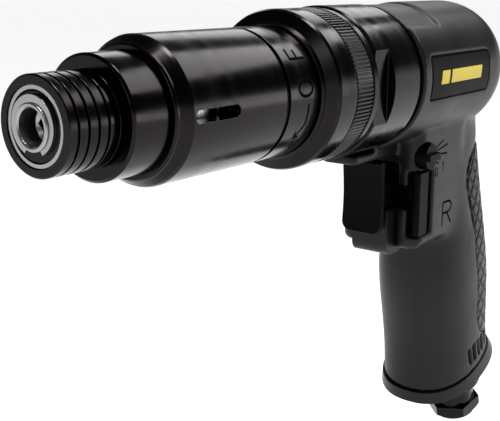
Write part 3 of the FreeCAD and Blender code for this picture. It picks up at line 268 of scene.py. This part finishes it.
housing_paint = painted("stoved_paint_on_casting", "0b0807", "120e0d", "3a3330", 0.38, 0.7,
                        0.22, 0.4, 0.28)
black_nylon = painted("black_glass_filled_nylon", "020303", "050606", "121313", 0.42, 0.4,
                      0.30, 0.5, 0.06)
soft_rubber = painted("black_nitrile_rubber", "111111", "191919", "262626", 0.55, 0.5, 0.3, 0.3)
laminate = painted("phenolic_laminate", "5c3a22", "754b2c", "8d6038", 0.5, 0.5, 0.3, 0.3)
label_alloy = painted("dark_anodised_label", "080808", "0e0d0d", "3a3835", 0.5, 0.3,
                      0.12, 0.5, 0.08)
engraving = painted("black_engraving_paint", "020202", "050505", "0a0a0a", 0.7, 0.3, 0.2, 0.0,
                    0.02)
ochre_print = painted("ochre_screen_print", "d9c02c", "e3cc3c", "e9d75a", 0.45, 0.3, 0.15, 0.0)
print("film and moulded finishes ready")

# %% [markdown]
# ## Which piece has which finish
#
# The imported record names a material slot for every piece, so one table from slot to finish
# covers the whole assembly, the hidden works included. A cut-open view then looks right too.

# %% Finishes for the solid pieces
finishes = {
    "black_oxide_steel": black_oxide, "bright_steel": ground_steel,
    "coated_casting": housing_paint, "black_moulding": black_nylon,
    "plain_plate": label_alloy, "bronze": bronze_darkened_as_shade, "grey_alloy": machined_alloy,
    "grey_iron": honed_iron, "vane_composite": laminate, "seal_rubber": soft_rubber,
}
slot_of = {row["node"]: row["material_slot"] for row in frame["record"]["subparts"]}
for name, node in nodes.items():
    node.data.materials.clear()
    node.data.materials.append(finishes[slot_of[name]])
print("finished", len(nodes), "solid pieces")

# %% [markdown]
# ## Pieces made here
#
# Marks on the real tool are cut or rolled into the metal and filled with black. They could be
# a texture, but a thin sheet of mesh wrapped on the surface stays sharp at any distance. Each
# is drawn flat, in millimetres, and a wrapping function moves its points on to the surface.

# %% Helpers for the wrapped marks
WRAP_STEP_MM = 0.4        # longest piece of a stroke, short enough to follow a curve


def add_mesh(name, points, faces, material, body):
    """A new object from points in metres that rides on a body."""
    mesh = bpy.data.meshes.new(name)
    mesh.from_pydata([tuple(p) for p in points], [], faces)
    mesh.update()
    mesh.materials.append(material)
    piece = bpy.data.objects.new(name, mesh)
    bpy.context.scene.collection.objects.link(piece)
    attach(piece, body)
    return piece


def stroke(path, width):
    """Flat band of a width along a path of (u, v) points, split finely enough to wrap."""
    points = []
    faces = []
    dense = []
    for (u0, v0), (u1, v1) in zip(path, path[1:]):
        steps = max(1, int(math.hypot(u1 - u0, v1 - v0) / WRAP_STEP_MM))
        dense += [(u0 + (u1 - u0) * s / steps, v0 + (v1 - v0) * s / steps) for s in range(steps)]
    dense.append(path[-1])
    for i, (u, v) in enumerate(dense):
        before = dense[max(0, i - 1)]
        after = dense[min(len(dense) - 1, i + 1)]
        along = math.atan2(after[1] - before[1], after[0] - before[0])
        du = -math.sin(along) * width / 2
        dv = math.cos(along) * width / 2
        points += [(u + du, v + dv), (u - du, v - dv)]
        if i:
            faces.append((2 * i - 2, 2 * i - 1, 2 * i + 1, 2 * i))
    return points, faces


def arc_path(centre, radii, first, last, steps=14):
    """Points of an elliptical arc, in degrees from the u axis."""
    turns = [math.radians(first + (last - first) * s / steps) for s in range(steps + 1)]
    return [(centre[0] + radii[0] * math.cos(t), centre[1] + radii[1] * math.sin(t))
            for t in turns]


GLYPHS = {
    "O": [arc_path((0.36, 0.5), (0.32, 0.46), 0, 360, 28)],
    "F": [[(0.1, 0.0), (0.1, 1.0), (0.62, 1.0)], [(0.1, 0.52), (0.54, 0.52)]],
    "R": [[(0.1, 0.0), (0.1, 0.97), (0.38, 0.97)] + arc_path((0.38, 0.74), (0.24, 0.23), 80, -90)
          + [(0.1, 0.51)], [(0.36, 0.51), (0.64, 0.0)]],
    "0": [arc_path((0.3, 0.5), (0.24, 0.46), 0, 360, 24)],
    "1": [[(0.1, 0.78), (0.32, 0.97), (0.32, 0.0)]],
}


def lettering(text, height, weight, gap, stretch=1.0):
    """Flat strokes of a plain engraved text, starting at the origin, in millimetres."""
    drawn = []
    start = 0.0
    for letter in text:
        for path in GLYPHS[letter]:
            moved = [(start + u * stretch * height, v * height) for u, v in path]
            drawn.append(stroke(moved, weight))
        start += gap
    return drawn


def joined(drawn):
    """One list of points and faces from several."""
    points = []
    faces = []
    for some_points, some_faces in drawn:
        faces += [tuple(i + len(points) for i in face) for face in some_faces]
        points += some_points
    return points, faces


# %% [markdown]
# ## Engraving on the clutch cover
#
# The rear band of the cover says OFF and carries a hooked arrow, which shows which way it turns
# to shut its window. The letters run round the sleeve, so u becomes an angle and v an x.

# %% OFF and the arrow
cover_low, cover_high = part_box("clutch_cover")
cover_radius = cover_high[2]
LIFT = 0.02 * MM          # how far a mark stands off its surface, to be drawn clean
band_x = cover_low[0] + 2.6 * MM
OFF_START = 88.5          # degrees from +Z towards +Y, where the O begins
ARROW_START = 94.5
MARK_WIDTH = 0.75         # millimetres, of the arrow's strokes


def wrap_on_cover(points, start_angle, x_base):
    """u runs round the sleeve from an angle measured from +Z towards +Y, v runs along +X."""
    radius = cover_radius + LIFT
    wrapped = []
    for u, v in points:
        angle = math.radians(start_angle) - u * MM / radius
        wrapped.append((x_base + v * MM, radius * math.sin(angle), radius * math.cos(angle)))
    return wrapped


off_points, off_faces = joined(lettering("OFF", height=6.6, weight=0.85, gap=4.9, stretch=0.94))
add_mesh("cover_off_mark", wrap_on_cover(off_points, OFF_START, band_x), off_faces, engraving,
         "clutch_cover")
shaft = [(0.0, 0.0), (-5.6, 0.0), (-9.8, 2.6)]
barbs = [(-7.6, 2.9), (-9.8, 2.6), (-9.3, 0.5)]
arrow_points, arrow_faces = joined([stroke(shaft, MARK_WIDTH), stroke(barbs, MARK_WIDTH)])
add_mesh("cover_arrow_mark", wrap_on_cover(arrow_points, ARROW_START, band_x + 2.0 * MM),
         arrow_faces, engraving, "clutch_cover")
print("cover radius", round(cover_radius / MM, 2), "mm")

# %% [markdown]
# ## The casting's soft shapes
#
# The solid model joins the handle, its valve block and the barrel with plain edges. A casting
# has no such corners: the metal flows from one form to the next, or it would crack as it cools.
# Filleting a dozen awkward edges is slow work. A voxel remesh turns the whole casting into an
# even skin. Each point is then pulled to its neighbours' mean again and again, as far as its
# weight allows, which melts the joins. Machined edges such as the slots keep no weight, so they
# stay crisp.

# %% Even skin with melted joins
SKIN_MM = 0.6             # one face of the casting's skin
JOIN_ROUNDS = 90
BEHIND_SLOTS_X = (-230.0, -163.5)     # ranges in millimetres, where the joins may melt
HANDLE_TOP_Z = (-56.0, -21.0)
CHIN_X = (-185.0, -152.5)
CHIN_Z = (-70.0, -57.5)


def even_skin(name, node, voxel_mm):
    """A remeshed copy of a solid piece, as a new object."""
    copy = bpy.data.objects.new(name, nodes[node].data.copy())
    bpy.context.scene.collection.objects.link(copy)
    remesh = copy.modifiers.new("even_skin", "REMESH")
    remesh.mode = "VOXEL"
    remesh.voxel_size = voxel_mm * MM
    remesh.use_smooth_shade = True
    bpy.context.view_layer.update()
    shape = copy.evaluated_get(bpy.context.evaluated_depsgraph_get())
    mesh = bpy.data.meshes.new_from_object(shape)
    copy.modifiers.clear()
    copy.data = mesh
    return copy


def dress(piece, material, node):
    """Paint a piece of the casting and let it stand for a node of the solid model."""
    piece.data.materials.clear()
    piece.data.materials.append(material)
    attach(piece, "housing")
    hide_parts(node)


def band_weight(value, low, high, soft):
    """1 between low and high, falling to 0 over a soft width outside them."""
    return np.clip(np.minimum(value - low, high - value) / soft + 1.0, 0.0, 1.0)


def join_weight(x, y, z):
    """How much each point of the casting may be smoothed, from 0 to 1."""
    handle_top = band_weight(x, *BEHIND_SLOTS_X, 3.0) * band_weight(z, *HANDLE_TOP_Z, 4.0)
    chin = band_weight(x, *CHIN_X, 2.0) * band_weight(z, *CHIN_Z, 1.5)
    outside = (np.abs(y) > 8.0) | (z < -50.0) | (x < -195.0)
    return np.maximum(handle_top, chin) * outside


def melted(mesh, weights, rounds):
    """Pull every point towards its neighbours' mean, as far as its weight allows."""
    place = np.empty(len(mesh.vertices) * 3)
    mesh.vertices.foreach_get("co", place)
    place = place.reshape(-1, 3)
    ends = np.empty(len(mesh.edges) * 2, dtype=np.int32)
    mesh.edges.foreach_get("vertices", ends)
    one, two = ends.reshape(-1, 2).T
    count = np.bincount(ends, minlength=len(place))
    for _ in range(rounds):
        for axis in range(3):
            line = place[:, axis]
            total = (np.bincount(one, line[two], len(place))
                     + np.bincount(two, line[one], len(place)))
            place[:, axis] = line + weights * 0.5 * (total / count - line)
    mesh.vertices.foreach_set("co", place.ravel())
    mesh.update()


def points_in_mm(mesh):
    """x, y and z of all points of a mesh, in millimetres."""
    place = np.empty(len(mesh.vertices) * 3)
    mesh.vertices.foreach_get("co", place)
    return place.reshape(-1, 3).T / MM


casting = even_skin("housing_casting", "motor_housing", SKIN_MM)
melted(casting.data, np.ones(len(casting.data.vertices)), 2)
melted(casting.data, join_weight(*points_in_mm(casting.data)), JOIN_ROUNDS)
dress(casting, housing_paint, "motor_housing")
print("casting faces:", len(casting.data.polygons))

# %% [markdown]
# ## Engraving on the housing
#
# The regulator's fan of lines and its 0 and 1, and the R of the reverse side, lie on the curved
# side of the casting. Each point is drawn on an upright plane beside the tool and then shot
# along Y at the casting's own mesh, which finds the surface under it.

# %% Marks beside the regulator and the selector
SHOT_FROM_Y = 60 * MM     # beside the tool, clear of it
BLOCK_SIDE_Y = 15.5 * MM  # the flat side of the valve block, for a point that meets nothing
# degrees above -X, first and last millimetre from the dial's centre, width
FAN_LINES = ((-24, 6.2, 9.0, 0.6), (-14, 6.0, 9.8, 0.6), (-3, 5.8, 14.5, 0.6),
             (9, 5.8, 15.0, 0.6), (20, 6.0, 12.0, 0.6))
DIGIT_PLACES = (("0", -5.9, -8.0), ("1", -10.9, -6.6))      # millimetres from the dial's centre
R_PLACE = (-165.0, -53.5)

housing_tree = BVHTree.FromPolygons([v.co for v in casting.data.vertices],
                                    [tuple(p.vertices) for p in casting.data.polygons])


def drop_on_housing(points, x_base, z_base):
    """u runs towards -X and v up; every point lands on the casting's left side."""
    landed = []
    for u, v in points:
        start = Vector((x_base - u * MM, SHOT_FROM_Y, z_base + v * MM))
        hit = housing_tree.ray_cast(start, Vector((0, -1, 0)))[0]
        landed.append((hit.x, hit.y + LIFT, hit.z) if hit else (start.x, BLOCK_SIDE_Y, start.z))
    return landed


dial_low, dial_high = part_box("regulator_dial")
dial_x = (dial_low[0] + dial_high[0]) / 2
dial_z = (dial_low[2] + dial_high[2]) / 2
fan = []
for angle, near, far, weight in FAN_LINES:
    c = math.cos(math.radians(angle))
    s = math.sin(math.radians(angle))
    fan.append(stroke([(near * c, near * s), (far * c, far * s)], weight))
fan_points, fan_faces = joined(fan)
add_mesh("regulator_scale", drop_on_housing(fan_points, dial_x, dial_z), fan_faces, engraving,
         "housing")
for digit, x_off, z_off in DIGIT_PLACES:
    points, faces = joined(lettering(digit, height=3.2, weight=0.5, gap=0.0))
    landed = drop_on_housing(points, dial_x + x_off * MM, dial_z + z_off * MM)
    add_mesh("regulator_mark_" + digit, landed, faces, engraving, "housing")
points, faces = joined(lettering("R", height=8.6, weight=0.85, gap=0.0, stretch=1.5))
landed = drop_on_housing(points, R_PLACE[0] * MM, R_PLACE[1] * MM)
add_mesh("reverse_mark", landed, faces, engraving, "housing")
print("dial at", round(dial_x / MM, 1), round(dial_z / MM, 1), "mm")

# %% [markdown]
# ## Crossed grooves on the handle's back
#
# The panel that wraps the back of the handle is cut with two sets of slanting grooves, which
# leave diamonds about 6 mm long for the palm. A bump texture would vanish in the outline, so
# the grooves are real: every point of a fine even skin is pushed in where it lies on a groove.
# The depth is also stored on the mesh, so that the finish is painted darker in the grooves, as
# painted shade.

# %% Grip panel
DIAMOND_MM = 4.6          # from one groove to the next of the same set
GROOVE_MM = 1.0           # width of a groove, past its flat bottom
GROOVE_FLAT_MM = 0.15
GROOVE_DEPTH_MM = 0.55
GROOVE_LEAN = 0.78        # radians, each set to its own side
PANEL_SKIN_MM = 0.42
GRIP_HALF_WIDTH = 18.0    # the handle's oval, in millimetres
GRIP_HALF_DEPTH = 23.0
GRIP_RADIUS = (GRIP_HALF_WIDTH + GRIP_HALF_DEPTH) / 2


def grip_middle(z):
    """x of the handle's leaning centre line at a height, in millimetres."""
    return -181.05 + 0.155 * z


def groove(x, y, z):
    """Depth of the crossed grooves at each point, from 0 to 1."""
    across_back = (grip_middle(z) - x) / GRIP_HALF_DEPTH
    round_the_back = np.arctan2(y / GRIP_HALF_WIDTH, across_back) * GRIP_RADIUS
    deep = np.zeros(len(x))
    for lean in (GROOVE_LEAN, -GROOVE_LEAN):
        across = (round_the_back * math.cos(lean) + z * math.sin(lean)) / DIAMOND_MM
        off_line = np.abs(across - np.round(across)) * DIAMOND_MM
        line = 1.0 - np.clip((off_line - GROOVE_FLAT_MM) / (GROOVE_MM / 2), 0.0, 1.0)
        deep = np.maximum(deep, line)
    return deep


panel_paint = housing_paint.copy()
panel_paint.name = "stoved_paint_with_painted_groove_shade"
depth_read = add_node(panel_paint, "ShaderNodeAttribute", attribute_name="groove")
panel_shader = next(n for n in panel_paint.node_tree.nodes if n.type == "BSDF_PRINCIPLED")
top_colour = panel_shader.inputs["Base Color"].links[0].from_socket
# Painted shade: the base colour goes towards near black with the groove depth, standing in for the
# shade inside the grooves.
painted_groove_shade = add_node(panel_paint, "ShaderNodeMix", {"B": linear("050505")},
                {"Factor": depth_read.outputs["Fac"], "A": top_colour}, data_type="RGBA")
panel_paint.node_tree.links.new(painted_groove_shade.outputs["Result"], panel_shader.inputs["Base Color"])

panel = even_skin("grip_grooves", "grip_panel", PANEL_SKIN_MM)
x, y, z = points_in_mm(panel.data)
depths = groove(x, y, z)
outward = np.stack((x - grip_middle(z), y, np.zeros(len(x))), axis=1)
outward /= np.linalg.norm(outward, axis=1)[:, None]
facing = np.empty(len(x) * 3)
panel.data.vertices.foreach_get("normal", facing)
outer = (facing.reshape(-1, 3) * outward).sum(axis=1) > 0.2
place = np.stack((x, y, z), axis=1) - outward * (depths * outer * GROOVE_DEPTH_MM)[:, None]
panel.data.vertices.foreach_set("co", (place * MM).ravel())
panel.data.update()
stored = panel.data.attributes.new("groove", "FLOAT", "POINT")
stored.data.foreach_set("value", depths)
dress(panel, panel_paint, "grip_panel")
print("panel faces:", len(panel.data.polygons))

# %% [markdown]
# ## Name plate
#
# A maker would print a name here. This one stays plain, with a black frame line and an ochre
# bar in two parts, both wrapped on the barrel in the way of the cover's letters. A wide band
# would cut through the round plate, so the bar is laid in narrow overlapping strips.

# %% Frame line and bar
FRAME_WIDTH = 0.6         # all in millimetres
FRAME_MARGIN = (0.5, 0.4)
BAR_STRETCHES = ((-15.0, -9.5), (-8.0, 15.0))
BAR_STRIPS = np.arange(-1.8, 1.9, 0.6)
STRIP_WIDTH = 0.62
BAR_SLANT = 0.2
plate_low, plate_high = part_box("name_plate")
plate_radius = plate_high[1] + LIFT
plate_middle = (plate_low[0] + plate_high[0]) / 2
plate_half = (plate_high[0] - plate_low[0]) / 2 / MM
tall_half = (plate_high[2] - plate_low[2]) / 2 / MM


def wrap_on_barrel(points):
    """u runs towards -X from the plate's middle, v up round the barrel."""
    raise_by = (plate_high[2] + plate_low[2]) / 2 / MM
    turns = [(v + raise_by) * MM / plate_radius for u, v in points]
    return [(plate_middle - u * MM, plate_radius * math.cos(t), plate_radius * math.sin(t))
            for (u, v), t in zip(points, turns)]


edge_u = plate_half - FRAME_MARGIN[0]
edge_v = tall_half - FRAME_MARGIN[1]
rim = [(-edge_u, -edge_v), (edge_u, -edge_v), (edge_u, edge_v), (-edge_u, edge_v),
       (-edge_u, -edge_v)]
points, faces = stroke(rim, FRAME_WIDTH)
add_mesh("plate_frame_line", wrap_on_barrel(points), faces, engraving, "housing")
bars = [stroke([(first + v * BAR_SLANT, v), (last + v * BAR_SLANT, v)], STRIP_WIDTH)
        for v in BAR_STRIPS for first, last in BAR_STRETCHES]
bar_points, bar_faces = joined(bars)
add_mesh("plate_ochre_bar", wrap_on_barrel(bar_points), bar_faces, ochre_print, "housing")
print("plate", round(2 * plate_half, 1), "by", round(2 * tall_half, 1), "mm")

# %% [markdown]
# ## Stage and light
#
# A white floor under and behind the tool, a large soft box over it and smaller ones around it
# are the usual set for dark metal: black steel shows nothing but what it reflects. The floor
# sits a little under the inlet, and its own white light keeps it pale and fills the underside.

# %% Floor
FLOOR_REACH = 30.0        # metres each way, so that its edge is never seen
FLOOR_DROP = 0.02         # below the lowest point of the tool
floor_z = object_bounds()[0][2] - FLOOR_DROP
corners = [(x * FLOOR_REACH, y * FLOOR_REACH, floor_z)
           for x, y in ((-1, -1), (1, -1), (1, 1), (-1, 1))]
floor_mesh = bpy.data.meshes.new("studio_floor")
floor_mesh.from_pydata(corners, [], [(0, 1, 2, 3)])
floor = bpy.data.objects.new("studio_floor", floor_mesh)
bpy.context.scene.collection.objects.link(floor)
floor_paint = new_material("white_studio_paper")
paper = add_node(floor_paint, "ShaderNodeTexNoise", {"Scale": 400.0, "Detail": 2.0})
tint = add_node(floor_paint, "ShaderNodeMix", {"A": linear("8f8f8f"), "B": linear("959595")},
                {"Factor": paper.outputs["Fac"]}, data_type="RGBA")
finish_shader(floor_paint, {"Roughness": 0.9, "Emission Color": (1, 1, 1, 1),
                            "Emission Strength": 0.9}, {"Base Color": tint.outputs["Result"]})
floor_mesh.materials.append(floor_paint)

# %% Lights
HORIZON = (0.02, 0.16)    # height of the sky where its white ends, and where it is dark
HORIZON_GREY = (1.0, 0.06)
bpy.context.scene.view_settings.view_transform = "Standard"
world = bpy.data.worlds.new("studio")
bpy.context.scene.world = world
world.use_nodes = True
background = world.node_tree.nodes["Background"]
direction = add_node(world, "ShaderNodeTexCoord")
height = add_node(world, "ShaderNodeSeparateXYZ", links={"Vector": direction.outputs["Generated"]})
shade = add_node(world, "ShaderNodeValToRGB", links={"Fac": height.outputs["Z"]})
for stop, place, grey in zip(shade.color_ramp.elements, HORIZON, HORIZON_GREY):
    stop.position = place
    stop.color = (grey, grey, grey, 1)
world.node_tree.links.new(shade.outputs["Color"], background.inputs["Color"])
aim = Vector((-0.10, 0.0, -0.02))       # metres, the middle of the tool


def soft_box(name, place, size, power):
    """A rectangular area light at a place, aimed at the middle of the tool."""
    data = bpy.data.lights.new(name, "AREA")
    data.shape = "RECTANGLE"
    data.size, data.size_y = size
    data.energy = power
    lamp = bpy.data.objects.new(name, data)
    bpy.context.scene.collection.objects.link(lamp)
    lamp.location = place
    lamp.rotation_euler = (aim - Vector(place)).to_track_quat("-Z", "Y").to_euler()


soft_box("rear_box", (-1.0, 0.32, 0.80), (0.80, 0.40), 4.6)
soft_box("overhead_box", (-0.1, 0.1, 0.95), (0.7, 0.25), 12.0)
soft_box("back_box", (-0.9, -0.52, 0.46), (0.7, 0.30), 1.2)
soft_box("left_box", (-0.85, 0.75, -0.02), (0.40, 0.20), 0.8)
soft_box("front_strip", (0.8, 0.15, 0.35), (0.30, 0.4), 1.0)
